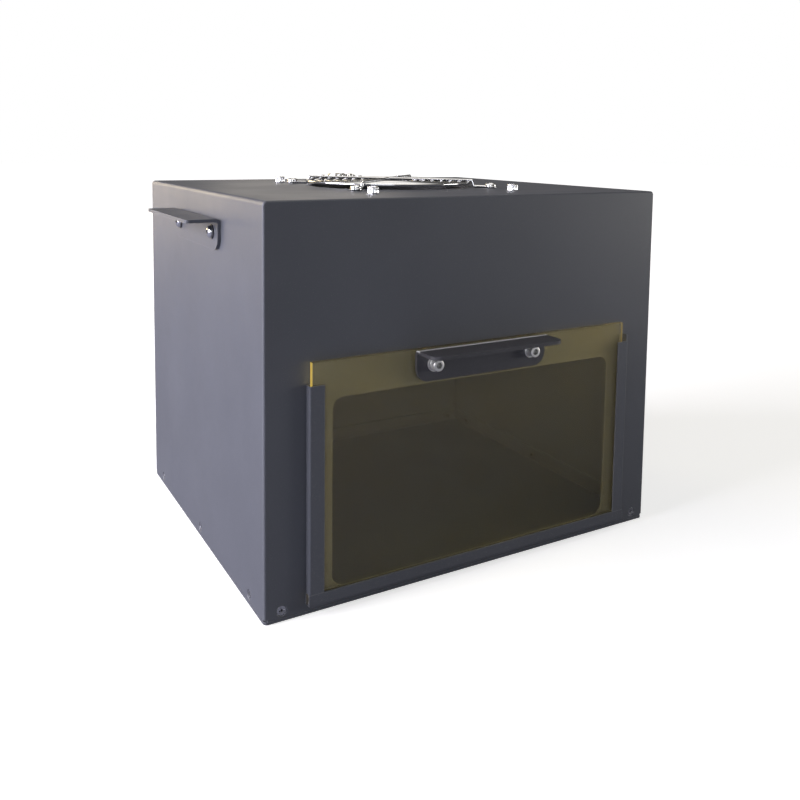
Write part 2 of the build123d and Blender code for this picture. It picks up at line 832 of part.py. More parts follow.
with BuildPart() as leds:
    with BuildSketch(Plane.XY.offset(board_bottom)):
        with GridLocations(led_pitch, led_pitch, led_columns, led_rows):
            Rectangle(led_size, led_size)
    extrude(amount=-led_body)
    with BuildSketch(Plane.XY.offset(board_bottom - led_body)):
        with GridLocations(led_pitch, led_pitch, led_columns, led_rows):
            Circle(led_dome)
    extrude(amount=-0.5 * led_dome, taper=25)

with BuildPart() as led_board_screws:
    with Locations(
        *[Plane((x, y, board_bottom), x_dir=(1, 0, 0), z_dir=(0, 0, -1)) for x, y in board_screw_points]
    ):
        add(pan_screw(3.0, 6.0))

with BuildPart() as lamp_terminal:
    with BuildSketch(Plane.XY.offset(board_bottom)):
        with Locations((lead_hole_x, lead_hole_y)):
            Rectangle(10.0, 7.0)
    extrude(amount=-2.6)
    chamfer(lamp_terminal.edges().group_by(Axis.Z)[0], 0.4)
    with BuildSketch(Plane.XY.offset(board_bottom)):
        with Locations((lead_hole_x, lead_hole_y)):
            with GridLocations(2 * lead_half_gap, 1, 2, 1):
                Circle(lead_radius + running_gap)
    extrude(amount=-1.5, mode=Mode.SUBTRACT)

# Frame that clamps the glass under the board
with BuildPart() as lamp_frame:
    with BuildSketch(Plane.XY.offset(lamp_bottom)):
        RectangleRounded(lamp_frame_width, lamp_frame_length, 3.0)
    extrude(amount=lamp_frame_depth)
    with BuildSketch(Plane.XY.offset(lamp_bottom + lamp_lip)):
        Rectangle(board_width + 2 * fit_gap, board_length + 2 * fit_gap)
    extrude(amount=lamp_frame_depth, mode=Mode.SUBTRACT)
    with BuildSketch(Plane.XY.offset(lamp_bottom)):
        RectangleRounded(lamp_lip_width, lamp_lip_length, 4.0)
    extrude(amount=lamp_lip, mode=Mode.SUBTRACT)
    with BuildSketch(Plane.XY.offset(lamp_bottom)):
        with Locations(*frame_screw_points):
            Circle(1.6)
    extrude(amount=lamp_frame_depth, mode=Mode.SUBTRACT)

with BuildPart() as lamp_glass:
    with BuildSketch(Plane.XY.offset(lamp_bottom + lamp_lip)):
        Rectangle(board_width, board_length)
    extrude(amount=glass_thickness)

with BuildPart() as lamp_frame_screws:
    with Locations(
        *[Plane((x, y, lamp_bottom), x_dir=(1, 0, 0), z_dir=(0, 0, -1)) for x, y in frame_screw_points]
    ):
        add(socket_screw(3.0, lamp_frame_depth + 5.0))

# Round connector: a square flange on the top, a barrel through it, and a fluted ring round the barrel
with BuildPart() as connector_socket:
    with BuildSketch(Plane.XY.offset(top_z)):
        with Locations((connector_x, connector_y)):
            RectangleRounded(connector_flange, connector_flange, 2.0)
        with Locations(*connector_points):
            Circle(1.6, mode=Mode.SUBTRACT)
    extrude(amount=connector_flange_sheet)
    with BuildSketch(Plane.XY.offset(top_z - connector_drop)):
        with Locations((connector_x, connector_y)):
            Circle(connector_radius)
    extrude(amount=connector_drop + connector_height)
    with BuildSketch(Plane.XY.offset(top_z - connector_drop)):
        with Locations((connector_x, connector_y)):
            Circle(connector_radius - 1.2)
    extrude(amount=connector_drop + connector_height, mode=Mode.SUBTRACT)

with BuildPart() as connector_ring:
    with BuildSketch(Plane.XY.offset(top_z + connector_flange_sheet)):
        with Locations((connector_x, connector_y)):
            Circle(ring_radius)
            Circle(connector_radius + running_gap, mode=Mode.SUBTRACT)
            with PolarLocations(ring_radius + 0.5, ring_flutes):
                Circle(1.1, mode=Mode.SUBTRACT)
    extrude(amount=ring_rise)

with BuildPart() as connector_insert:
    with BuildSketch(Plane.XY.offset(top_z - connector_drop + 1)):
        with Locations((connector_x, connector_y)):
            Circle(connector_radius - 1.22)
            with PolarLocations(pin_circle, 4):
                Circle(0.8, mode=Mode.SUBTRACT)
    extrude(amount=connector_drop)

with BuildPart() as connector_pins:
    with BuildSketch(Plane.XY.offset(pin_low)):
        with Locations((connector_x, connector_y)):
            with PolarLocations(pin_circle, 4):
                Circle(0.78)
    extrude(amount=pin_tail + connector_drop + connector_height - 1)

with BuildPart() as connector_screws:
    with Locations(
        *[Location((x, y, top_z + connector_flange_sheet)) for x, y in connector_points]
    ):
        add(socket_screw(3.0, 6.0))

with BuildPart() as connector_nuts:
    with Locations(*[Location((x, y, ceiling_z - 2.4)) for x, y in connector_points]):
        add(hex_nut(5.5, 1.5 + running_gap, 2.4))


def run_radii(points):
    """Largest tangent radius at each inner point, 0.45 of the shorter run over the half turn's tangent."""
    found = []
    for before, here, after in zip(points, points[1:], points[2:]):
        run_in = Vector(*here) - Vector(*before)
        run_out = Vector(*after) - Vector(*here)
        turned = radians(run_in.get_angle(run_out))
        found.append(0.45 * min(run_in.length, run_out.length) / tan(turned / 2))
    return found


def lead(points, radius):
    """Wire of one radius along straight runs joined by arcs."""
    with BuildPart() as wire:
        with BuildLine() as route:
            FilletPolyline(*points, radius=run_radii(points))
        with BuildSketch(route.line ^ 0):
            Circle(radius)
        sweep()
    return wire.part


def board_lead(side, bow):
    """One of the two leads, from its pin down behind the fins and through the board's hole."""
    pin_x = connector_x + side * pin_circle
    hole_x = lead_hole_x + side * lead_half_gap
    return lead(
        [
            (pin_x, connector_y, pin_low),
            (pin_x, connector_y, pin_low - 15),
            (pin_x + bow, connector_y - 6, pin_low - 33),
            (hole_x + 0.4 * bow, lead_hole_y + 3, pin_low - 49),
            (hole_x, lead_hole_y, sink_top - 2),
            (hole_x, lead_hole_y, board_bottom - lead_depth),
        ],
        lead_radius,
    )


with BuildPart() as lamp_lead_plus:
    add(board_lead(1, 2.2))

with BuildPart() as lamp_lead_minus:
    add(board_lead(-1, -1.6))

fan_lead_radius = 0.8
fan_lead_x = connector_x + 14
fan_lead_z = pin_low - 6
with BuildPart() as fan_lead:
    add(
        lead(
            [
                (connector_x, connector_y - pin_circle, pin_low),
                (connector_x, connector_y - pin_circle, pin_low - 7),
                (connector_x + 4.5, connector_y - 9.5, pin_low - 12),
                (connector_x + 10.5, connector_y - 15.5, pin_low - 10.5),
                (fan_lead_x, fan_size / 2 + 6.5, fan_lead_z),
                (fan_lead_x, fan_size / 2, fan_lead_z),
            ],
            fan_lead_radius,
        )
    )

pieces = {
    "cover_wrap": cover_wrap,
    "front_panel": front_panel,
    "rear_panel": rear_panel,
    "base_plate": base_plate,
    "base_screws": base_screws,
    "door_guide_left": door_guide_left,
    "door_guide_right": door_guide_right,
    "door_guide_bottom": door_guide_bottom,
    "door_panel": door_panel,
    "door_inserts": door_inserts,
    "door_handle": door_handle,
    "door_flat_washers": door_flat_washers,
    "door_spring_washers": door_spring_washers,
    "door_handle_screws": door_handle_screws,
    "side_handle_left": side_handle_left,
    "side_handle_right": side_handle_right,
    "side_handle_washers": side_handle_washers,
    "side_handle_screws": side_handle_screws,
    "side_handle_nuts": side_handle_nuts,
    "fan_frame": fan_frame,
    "fan_bearing": fan_bearing,
    "fan_stator": fan_stator,
    "fan_rotor": fan_rotor,
    "fan_magnet": fan_magnet,
    "fan_shaft": fan_shaft,
    "fan_clip": fan_clip,
    "fan_guard": fan_guard,
    "fan_guard_screws": fan_guard_screws,
    "fan_guard_nuts": fan_guard_nuts,
    "heat_sink": heat_sink,
    "lamp_standoffs": lamp_standoffs,
    "lamp_screws": lamp_screws,
    "led_board": led_board,
    "leds": leds,
    "led_board_screws": led_board_screws,
    "lamp_terminal": lamp_terminal,
    "lamp_frame": lamp_frame,
    "lamp_glass": lamp_glass,
    "lamp_frame_screws": lamp_frame_screws,
    "connector_socket": connector_socket,
    "connector_ring": connector_ring,
    "connector_insert": connector_insert,
    "connector_pins": connector_pins,
    "connector_screws": connector_screws,
    "connector_nuts": connector_nuts,
    "lamp_lead_plus": lamp_lead_plus,
    "lamp_lead_minus": lamp_lead_minus,
    "fan_lead": fan_lead,
}
for label, piece in pieces.items():
    piece.part.label = label
    export_step(piece.part, f"parts/{label}.step")
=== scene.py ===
import math

import bpy
import numpy as np
from mathutils import Matrix, Vector


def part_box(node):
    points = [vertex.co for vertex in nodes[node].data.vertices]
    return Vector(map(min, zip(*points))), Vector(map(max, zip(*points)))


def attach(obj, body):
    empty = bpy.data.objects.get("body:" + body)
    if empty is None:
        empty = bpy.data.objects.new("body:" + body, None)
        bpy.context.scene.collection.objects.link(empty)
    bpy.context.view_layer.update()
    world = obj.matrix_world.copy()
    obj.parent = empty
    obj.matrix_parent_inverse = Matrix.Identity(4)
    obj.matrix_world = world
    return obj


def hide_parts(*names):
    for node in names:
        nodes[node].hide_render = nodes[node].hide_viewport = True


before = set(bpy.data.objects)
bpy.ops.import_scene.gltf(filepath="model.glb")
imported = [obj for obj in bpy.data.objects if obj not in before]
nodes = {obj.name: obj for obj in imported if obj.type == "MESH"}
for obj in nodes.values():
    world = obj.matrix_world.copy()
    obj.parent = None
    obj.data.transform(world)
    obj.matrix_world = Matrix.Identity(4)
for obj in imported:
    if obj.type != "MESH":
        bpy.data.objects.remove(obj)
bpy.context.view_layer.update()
print("frame loaded:", len(nodes), "nodes")

mm = 0.001  # shapes and finishes are set in millimetres, the room and the camera in metres


def addNode(tree, kind, **settings):
    node = tree.nodes.new(kind)
    for key, value in settings.items():
        setattr(node, key, value)
    return node


def feed(tree, node, values):
    # a socket is linked, anything else is set as the input's own value
    for name, value in values.items():
        if isinstance(value, bpy.types.NodeSocket):
            tree.links.new(value, node.inputs[name])
        else:
            node.inputs[name].default_value = value
    return node


def mathNode(tree, operation, a, b=0.0, clamp=False):
    node = addNode(tree, "ShaderNodeMath", operation=operation, use_clamp=clamp)
    feed(tree, node, {0: a, 1: b})
    return node.outputs[0]


def mixColor(tree, share, a, b, blend="MIX"):
    node = addNode(tree, "ShaderNodeMix", data_type="RGBA", blend_type=blend)
    feed(tree, node, {0: share, 6: a, 7: b})
    return node.outputs[2]


def mapRange(tree, value, low, high, toLow=0.0, toHigh=1.0):
    node = addNode(tree, "ShaderNodeMapRange")
    feed(tree, node, {0: value, 1: low, 2: high, 3: toLow, 4: toHigh})
    return node.outputs[0]


def noise(tree, coordinates, scale, detail=2.0, roughness=0.5):
    node = addNode(tree, "ShaderNodeTexNoise")
    feed(tree, node, {"Vector": coordinates, "Scale": scale, "Detail": detail, "Roughness": roughness})
    return node.outputs[0]


def axes(tree, vector):
    return feed(tree, addNode(tree, "ShaderNodeSeparateXYZ"), {0: vector}).outputs


def newGroup(name, inputs, outputs):
    tree = bpy.data.node_groups.new(name, "ShaderNodeTree")
    for label, value in inputs.items():
        socket = tree.interface.new_socket(name=label, in_out="INPUT", socket_type="NodeSocketFloat")
        socket.default_value = value
    for label, kind in outputs.items():
        tree.interface.new_socket(name=label, in_out="OUTPUT", socket_type=kind)
    return tree, addNode(tree, "NodeGroupInput").outputs, addNode(tree, "NodeGroupOutput")


def useGroup(tree, group, values):
    node = addNode(tree, "ShaderNodeGroup", node_tree=group)
    return feed(tree, node, values).outputs


def objectPlace(tree):
    return addNode(tree, "ShaderNodeTexCoord").outputs["Object"]


def finenessOf(tree, size):
    # how many of a size in millimetres go into a metre
    return mathNode(tree, "DIVIDE", 1 / mm, size)


peelGrain = {
    "peelShare": 0.7,
    "peelDetail": 1.0,
    "fineShare": 0.3,
    "fineScale": 3.1,
    "fineDetail": 2.0,
    "driftDetail": 3.0,
}


def makeCoatGrain(grain):
    # powder coat: close round bumps with a finer grain in them, and a slow drift of tone
    tree, given, out = newGroup(
        "coatGrain",
        {"Bump Size": 0.9, "Drift Size": 90.0},
        {"Height": "NodeSocketFloat", "Tone": "NodeSocketFloat"},
    )
    where = objectPlace(tree)
    scale = finenessOf(tree, given["Bump Size"])
    fineScale = mathNode(tree, "MULTIPLY", scale, grain["fineScale"])
    bumps = noise(tree, where, scale, grain["peelDetail"])
    finer = noise(tree, where, fineScale, grain["fineDetail"])
    peel = mathNode(tree, "MULTIPLY", bumps, grain["peelShare"])
    fine = mathNode(tree, "MULTIPLY", finer, grain["fineShare"])
    drift = noise(tree, where, finenessOf(tree, given["Drift Size"]), grain["driftDetail"])
    feed(tree, out, {"Height": mathNode(tree, "ADD", peel, fine), "Tone": drift})
    return tree


turnLevels = (0.99, 0.85)  # cosines between the surface and its rounded self, on flats and on edges


def makeEdgeLine(levels):
    # one where the surface turns within the given radius, zero on flats
    tree, given, out = newGroup("edgeLine", {"Radius": 0.5}, {"Mask": "NodeSocketFloat"})
    bevel = addNode(tree, "ShaderNodeBevel", samples=4)
    feed(tree, bevel, {"Radius": mathNode(tree, "MULTIPLY", given["Radius"], mm)})
    flat = addNode(tree, "ShaderNodeNewGeometry").outputs["Normal"]
    dot = addNode(tree, "ShaderNodeVectorMath", operation="DOT_PRODUCT")
    feed(tree, dot, {0: bevel.outputs[0], 1: flat})
    feed(tree, out, {"Mask": mapRange(tree, dot.outputs["Value"], *levels)})
    return tree


touchMarks = {
    "patchDetail": 4.0,
    "patchRoughness": 0.6,
    "patchLevels": (0.35, 0.7),
    "speckScale": 2600.0,
    "speckLevels": (0.74, 0.8),
}


def makeHandling(marks):
    # faint wiped patches and fine specks, both from 0 to 1
    tree, given, out = newGroup(
        "handling",
        {"Patch Size": 40.0},
        {"Patches": "NodeSocketFloat", "Specks": "NodeSocketFloat"},
    )
    where = objectPlace(tree)
    scale = finenessOf(tree, given["Patch Size"])
    patch = noise(tree, where, scale, marks["patchDetail"], marks["patchRoughness"])
    speck = noise(tree, where, marks["speckScale"], 0.0)
    patches = mapRange(tree, patch, *marks["patchLevels"])
    feed(tree, out, {"Patches": patches, "Specks": mapRange(tree, speck, *marks["speckLevels"])})
    return tree


lineNoise = {"detail": 3.0, "roughness": 0.65}


def makeDrawnLines(line):
    # long fine lines along one axis, as drawing or brushing leaves
    tree, given, out = newGroup(
        "drawnLines",
        {"Along X": 0.03, "Along Y": 1.0, "Along Z": 1.0, "Line Size": 0.35},
        {"Height": "NodeSocketFloat"},
    )
    stretch = addNode(tree, "ShaderNodeCombineXYZ")
    feed(tree, stretch, {0: given["Along X"], 1: given["Along Y"], 2: given["Along Z"]})
    scaled = addNode(tree, "ShaderNodeVectorMath", operation="MULTIPLY")
    feed(tree, scaled, {0: objectPlace(tree), 1: stretch.outputs[0]})
    scale = finenessOf(tree, given["Line Size"])
    lines = noise(tree, scaled.outputs[0], scale, line["detail"], line["roughness"])
    feed(tree, out, {"Height": lines})
    return tree


coatGrain = makeCoatGrain(peelGrain)
edgeLine = makeEdgeLine(turnLevels)
handling = makeHandling(touchMarks)
drawnLines = makeDrawnLines(lineNoise)
print("shared effects made")


def newMaterial(name, settings):
    # a Principled surface whose plain numbers are set on its own sockets
    material = bpy.data.materials.new(name)
    material.use_nodes = True
    tree = material.node_tree
    shader = tree.nodes["Principled BSDF"]
    feed(tree, shader, settings)
    return material, tree, shader


toneLevels = (0.3, 0.7)  # where most of a noise lies


def bumped(tree, height, strength, distance):
    bump = addNode(tree, "ShaderNodeBump")
    feed(tree, bump, {"Strength": strength, "Distance": distance * mm, "Height": height})
    return bump.outputs[0]


def paintBendHighlight(tree, color, bendHighlight, tone):
    # a painted highlight on the bend that hands hold: a lighter colour, uneven, on all behind and above
    # the given places
    where = axes(tree, objectPlace(tree))
    behind, above, soft = (bendHighlight[key] * mm for key in ("behind", "above", "soft"))
    back = mapRange(tree, where[1], behind - soft, behind + soft)
    high = mapRange(tree, where[2], above - soft, above + soft)
    uneven = mapRange(tree, tone, *bendHighlight["toneLevels"], bendHighlight["least"], 1.0)
    share = mathNode(tree, "MULTIPLY", mathNode(tree, "MULTIPLY", back, high), uneven)
    return mixColor(tree, share, color, bendHighlight["color"])


def coatMaterial(name, coat):
    # satin powder coat: grain in the bump, drift in tone, and a painted highlight, a lighter colour,
    # along turned edges
    material, tree, shader = newMaterial(name, {"Specular IOR Level": coat["sheen"]})
    grain = useGroup(tree, coatGrain, {"Bump Size": coat["bumpSize"], "Drift Size": coat["driftSize"]})
    edge = useGroup(tree, edgeLine, {"Radius": coat["edge"]})["Mask"]
    wiped = useGroup(tree, handling, {"Patch Size": coat["patch"]})
    drift = mapRange(tree, grain["Tone"], *toneLevels, 1 - coat["drift"], 1 + coat["drift"])
    body = mixColor(tree, 1.0, coat["color"], drift, "MULTIPLY")
    specks = mathNode(tree, "MULTIPLY", wiped["Specks"], coat["speckShare"])
    speckled = mixColor(tree, specks, body, coat["edgeHighlightAndSpeckColor"])
    # painted highlight: the turned edges take the lighter colour
    edgeHighlight = mathNode(tree, "MULTIPLY", edge, coat["edgeHighlightShare"])
    color = mixColor(tree, edgeHighlight, speckled, coat["edgeHighlightAndSpeckColor"])
    # the handle's painted highlight, a lighter line along its bend
    if coat["bendHighlight"]:
        color = paintBendHighlight(tree, color, coat["bendHighlight"], grain["Tone"])
    polished, worn = coat["wipe"]
    rough = mapRange(tree, wiped["Patches"], 0.0, 1.0, coat["rough"] - polished, coat["rough"] + worn)
    normal = bumped(tree, grain["Height"], coat["depth"], coat["bumpHeight"])
    feed(tree, shader, {"Base Color": color, "Roughness": rough, "Normal": normal})
    return material


boxCoat = {
    "color": (0.079, 0.083, 0.099, 1),
    # the painted highlight's colour on turned edges, also the colour of the specks
    "edgeHighlightAndSpeckColor": (0.30, 0.30, 0.32, 1),
    "edgeHighlightShare": 0.5,
    "edge": 0.45,
    "bumpSize": 0.9,
    "bumpHeight": 0.06,
    "depth": 0.35,
    "rough": 0.46,
    "wipe": (0.03, 0.04),
    "patch": 55.0,
    "speckShare": 0.35,
    "drift": 0.05,
    "driftSize": 70.0,
    "sheen": 0.5,
    "bendHighlight": None,
}

# painted highlight along the handle's bend: its lighter colour and where it lies
bendHighlightLook = {
    "color": (0.85, 0.84, 0.84, 1),
    "behind": -129.2,
    "above": 141.8,
    "soft": 0.3,
    "toneLevels": (0.2, 0.6),
    "least": 0.6,
}
handleCoat = dict(boxCoat, color=(0.054, 0.053, 0.060, 1), rough=0.40, edgeHighlightShare=0.12, bendHighlight=bendHighlightLook)


def metalMaterial(name, metal):
    # uncoated or plated metal with fine drawn lines and wiped patches in its gloss, and painted shade in
    # its hollows
    material, tree, shader = newMaterial(name, {"Metallic": 1.0})
    x, y, z = metal["along"]
    drawn = {"Along X": x, "Along Y": y, "Along Z": z, "Line Size": metal["lineSize"]}
    lines = useGroup(tree, drawnLines, drawn)["Height"]
    wiped = useGroup(tree, handling, {"Patch Size": metal["patch"]})["Patches"]
    dulled = mathNode(tree, "MULTIPLY", wiped, metal["dullShare"])
    plated = mixColor(tree, dulled, metal["color"], metal["dull"])
    # painted shade: hollows found by ambient occlusion take a darker tone of the metal's colour
    shade = addNode(tree, "ShaderNodeAmbientOcclusion", samples=6)
    feed(tree, shade, {"Distance": metal["recess"] * mm})
    unshaded = mapRange(tree, shade.outputs["AO"], *metal["openLevels"])
    color = mixColor(tree, unshaded, metal["grime"], plated)
    rough = mapRange(tree, wiped, 0.0, 1.0, metal["rough"], metal["rough"] + metal["wipe"])
    normal = bumped(tree, lines, metal["depth"], metal["lineHeight"])
    feed(tree, shader, {"Base Color": color, "Roughness": rough, "Normal": normal})
    return material


plainMetal = {
    "dullTone": 0.75,
    "dullShare": 0.5,
    # the painted recess shade's tone, as a share of the metal's colour
    "grimeTone": 0.12,
    "openLevels": (0.15, 0.75),
    "recess": 1.6,
    "wipe": 0.1,
    "along": (1.0, 1.0, 1.0),
    "lineSize": 0.4,
    "lineHeight": 0.02,
    "depth": 0.1,
    "patch": 9.0,
}


def metalLook(color, rough, **changes):
    # an uncoated metal's settings, with its worn tone and the tone of its painted recess shade as shares
    # of its own colour
    look = {**plainMetal, "color": (*color, 1), "rough": rough, **changes}
    look["dull"] = (*[look["dullTone"] * part for part in color], 1)
    look["grime"] = (*[look["grimeTone"] * part for part in color], 1)
    return look


def plasticMaterial(name, plastic):
    # moulded plastic with a fine spark-eroded grain and a slow drift of tone
    material, tree, shader = newMaterial(name, {"Specular IOR Level": 0.5})
    grain = useGroup(tree, coatGrain, {"Bump Size": plastic["grain"], "Drift Size": plastic["driftSize"]})
    drift = mapRange(tree, grain["Tone"], *toneLevels, 1 - plastic["drift"], 1 + plastic["drift"])
    color = mixColor(tree, 1.0, plastic["color"], drift, "MULTIPLY")
    wipe = plastic["wipe"]
    rough = mapRange(tree, grain["Height"], *toneLevels, plastic["rough"] - wipe, plastic["rough"] + wipe)
    normal = bumped(tree, grain["Height"], plastic["depth"], plastic["grainHeight"])
    feed(tree, shader, {"Base Color": color, "Roughness": rough, "Normal": normal})
    return material


plainPlastic = {
    "drift": 0.15,
    "driftSize": 25.0,
    "wipe": 0.05,
    "grain": 0.4,
    "grainHeight": 0.03,
    "depth": 0.2,
}


def plasticLook(color, rough, **changes):
    return {**plainPlastic, "color": (*color, 1), "rough": rough, **changes}


amberPane = {
    "tint": (0.98, 0.92, 0.66, 1),
    "deep": (0.95, 0.86, 0.56, 1),
    # the colour of the glow painted on the cut edges
    "paintedEdgeGlow": (0.50, 0.34, 0.05, 1),
    "farGlow": 0.22,
    "topGlow": 0.02,
    "haze": (0.55, 0.50, 0.38, 1),
    "hazeLevels": (15.0, 120.0),
    "hazeShare": (0.006, 0.040),
    "hazeUneven": (0.8, 1.2),
    "halfWidth": 100.0,
    "cutLevels": (0.5, 0.9),
    "rough": 0.03,
    "wipe": 0.04,
    "patch": 60.0,
    "index": 1.49,
}


def mixShader(tree, share, first, second):
    node = addNode(tree, "ShaderNodeMixShader")
    return feed(tree, node, {0: share, 1: first.outputs[0], 2: second.outputs[0]})


def patchesHere(tree, size, marks):
    # the handling group's patches made in the material itself, for a shader's share or a shadow's tint
    patch = noise(tree, objectPlace(tree), 1 / (size * mm), marks["patchDetail"], marks["patchRoughness"])
    return mapRange(tree, patch, *marks["patchLevels"])


def passShadows(tree, shader, patches, look):
    # light that falls through is tinted and carries on, where the shader alone would stop it
    cast = mixColor(tree, patches, look["tint"], look["deep"])
    clear = feed(tree, addNode(tree, "ShaderNodeBsdfTransparent"), {"Color": cast})
    shadowRay = addNode(tree, "ShaderNodeLightPath").outputs["Is Shadow Ray"]
    both = mixShader(tree, shadowRay, shader, clear)
    feed(tree, tree.nodes["Material Output"], {"Surface": both.outputs[0]})


def paneMaterial(pane):
    # clear amber sheet: light passes tinted, and a glow is painted on its cut edges, strongest at the
    # left end, fainter to the right, with a trace on top and bottom
    settings = {"Transmission Weight": 1.0, "IOR": pane["index"]}
    material, tree, shader = newMaterial("amberAcrylic", settings)
    given = addNode(tree, "ShaderNodeTexCoord").outputs
    facing = axes(tree, given["Normal"])
    where = axes(tree, given["Object"])
    reach = pane["halfWidth"] * mm
    side = mapRange(tree, mathNode(tree, "ABSOLUTE", facing[0]), *pane["cutLevels"])
    share = mapRange(tree, where[0], -reach, reach, 1.0, pane["farGlow"])
    upward = mathNode(tree, "ABSOLUTE", facing[2])
    top = mapRange(tree, upward, *pane["cutLevels"], 0.0, pane["topGlow"])
    cut = mathNode(tree, "MAXIMUM", mathNode(tree, "MULTIPLY", side, share), top)
    # painted glow: emission on the cut edges, though the sheet is no lamp
    paintedGlow = mixColor(tree, cut, (0, 0, 0, 1), pane["paintedEdgeGlow"])
    wiped = useGroup(tree, handling, {"Patch Size": pane["patch"]})["Patches"]
    color = mixColor(tree, wiped, pane["tint"], pane["deep"])
    rough = mapRange(tree, wiped, 0.0, 1.0, pane["rough"], pane["rough"] + pane["wipe"])
    feed(tree, shader, {"Base Color": color, "Roughness": rough})
    feed(tree, shader, {"Emission Color": paintedGlow, "Emission Strength": 1.0})
    # fine scratches scatter a little of the light, more of them towards the handle, where hands reach
    scratched = feed(tree, addNode(tree, "ShaderNodeBsdfDiffuse"), {"Color": pane["haze"]})
    low, high = (level * mm for level in pane["hazeLevels"])
    touched = mapRange(tree, where[2], low, high, *pane["hazeShare"])
    patches = patchesHere(tree, pane["patch"], touchMarks)
    uneven = mapRange(tree, patches, 0.0, 1.0, *pane["hazeUneven"])
    hazy = mixShader(tree, mathNode(tree, "MULTIPLY", touched, uneven), shader, scratched)
    passShadows(tree, hazy, patches, pane)
    return material


clearGlass = {
    "tint": (0.95, 0.98, 0.96, 1),
    "deep": (0.91, 0.95, 0.93, 1),
    "rough": (0.01, 0.05),
    "patch": 30.0,
    "index": 1.5,
}
clearLens = dict(clearGlass, tint=(0.97, 0.96, 0.88, 1), deep=(0.94, 0.92, 0.82, 1))


def glassMaterial(name, glass):
    # clear sheet or lens with a faint body colour and light wiping marks
    material, tree, shader = newMaterial(name, {"Transmission Weight": 1.0, "IOR": glass["index"]})
    wiped = useGroup(tree, handling, {"Patch Size": glass["patch"]})["Patches"]
    color = mixColor(tree, wiped, glass["tint"], glass["deep"])
    rough = mapRange(tree, wiped, 0.0, 1.0, *glass["rough"])
    feed(tree, shader, {"Base Color": color, "Roughness": rough})
    passShadows(tree, shader, patchesHere(tree, glass["patch"], touchMarks), glass)
    return material


lampBoard = {
    "color": (0.80, 0.81, 0.79, 1),
    "track": (0.72, 0.73, 0.70, 1),
    "pitch": 15.0,
    "trackLevels": (0.25, 0.4),
    "grain": 0.5,
    "grainShare": 0.2,
    "driftSize": 30.0,
    "rough": (0.36, 0.46),
    "depth": 0.5,
    "raised": 0.05,
}


def bands(tree, place, pitch):
    # a sine along one axis, one wave to a pitch
    return mathNode(tree, "SINE", mathNode(tree, "MULTIPLY", place, 2 * math.pi / (pitch * mm)))


def boardMaterial(board):
    # white solder mask over copper: the tracks show as slightly raised stripes between the rows
    material, tree, shader = newMaterial("lampBoard", {"Specular IOR Level": 0.5})
    where = axes(tree, objectPlace(tree))
    track = mapRange(tree, bands(tree, where[0], board["pitch"]), *board["trackLevels"])
    grain = useGroup(tree, coatGrain, {"Bump Size": board["grain"], "Drift Size": board["driftSize"]})
    color = mixColor(tree, track, board["color"], board["track"])
    grained = mathNode(tree, "MULTIPLY", grain["Height"], board["grainShare"])
    height = mathNode(tree, "ADD", track, grained)
    rough = mapRange(tree, grain["Tone"], *toneLevels, *board["rough"])
    normal = bumped(tree, height, board["depth"], board["raised"])
    feed(tree, shader, {"Base Color": color, "Roughness": rough, "Normal": normal})
    return material


copperWire = {
    "pitch": 0.45,
    "gap": (0.30, 0.11, 0.04, 1),
    "crest": (0.62, 0.29, 0.13, 1),
    "patch": 6.0,
    "rough": (0.28, 0.4),
    "depth": 0.6,
    "raised": 0.1,
}


def windingMaterial(wire):
    # enamelled wire wound round the poles: close bands over the height
    material, tree, shader = newMaterial("copperWinding", {"Metallic": 1.0})
    where = axes(tree, objectPlace(tree))
    turns = bands(tree, where[2], wire["pitch"])
    color = mixColor(tree, mapRange(tree, turns, -1.0, 1.0), wire["gap"], wire["crest"])
    wiped = useGroup(tree, handling, {"Patch Size": wire["patch"]})["Patches"]
    rough = mapRange(tree, wiped, 0.0, 1.0, *wire["rough"])
    normal = bumped(tree, turns, wire["depth"], wire["raised"])
    feed(tree, shader, {"Base Color": color, "Roughness": rough, "Normal": normal})
    return material


brushed = {"along": (1.0, 0.02, 1.0), "lineSize": 0.5}
drawnBar = metalLook((0.70, 0.71, 0.72), 0.34, depth=0.35, **brushed)
blackBar = metalLook((0.05, 0.05, 0.055), 0.38, depth=0.25, **brushed)

